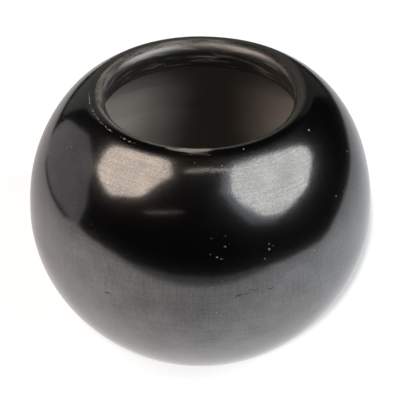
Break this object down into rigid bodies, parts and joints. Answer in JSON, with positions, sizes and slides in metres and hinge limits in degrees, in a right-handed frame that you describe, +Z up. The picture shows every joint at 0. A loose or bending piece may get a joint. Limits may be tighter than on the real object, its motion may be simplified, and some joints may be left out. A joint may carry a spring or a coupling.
{
  "type": "blackware seed bowl",
  "caption": "Round-bellied hand-coiled blackware seed bowl with a wide mouth, a rounded lip, a burnished black outside and a matte smoked inside.",
  "frame": {"origin": "centre of the flat foot, on the surface that the bowl stands on", "axes": "+Z up along the bowl's axis of turning; X and Y are alike, and the picture looks along +Y"},
  "size_m": [0.104, 0.104, 0.084],
  "materials": {
    "burnished_slip": "stone-burnished, carbon black, satin gloss",
    "smoked_clay": "bare scraped clay, smoke-grey, matte"
  },
  "bodies": {
    "root": {"pressed_base": "smoked_clay", "wall_coil_1": "smoked_clay", "wall_coil_2": "smoked_clay", "wall_coil_3": "smoked_clay", "shoulder_coil_1": "smoked_clay", "shoulder_coil_2": "smoked_clay", "shoulder_coil_3": "smoked_clay", "lip_coil": "smoked_clay", "slip_coat": "burnished_slip"}
  },
  "joints": []
}
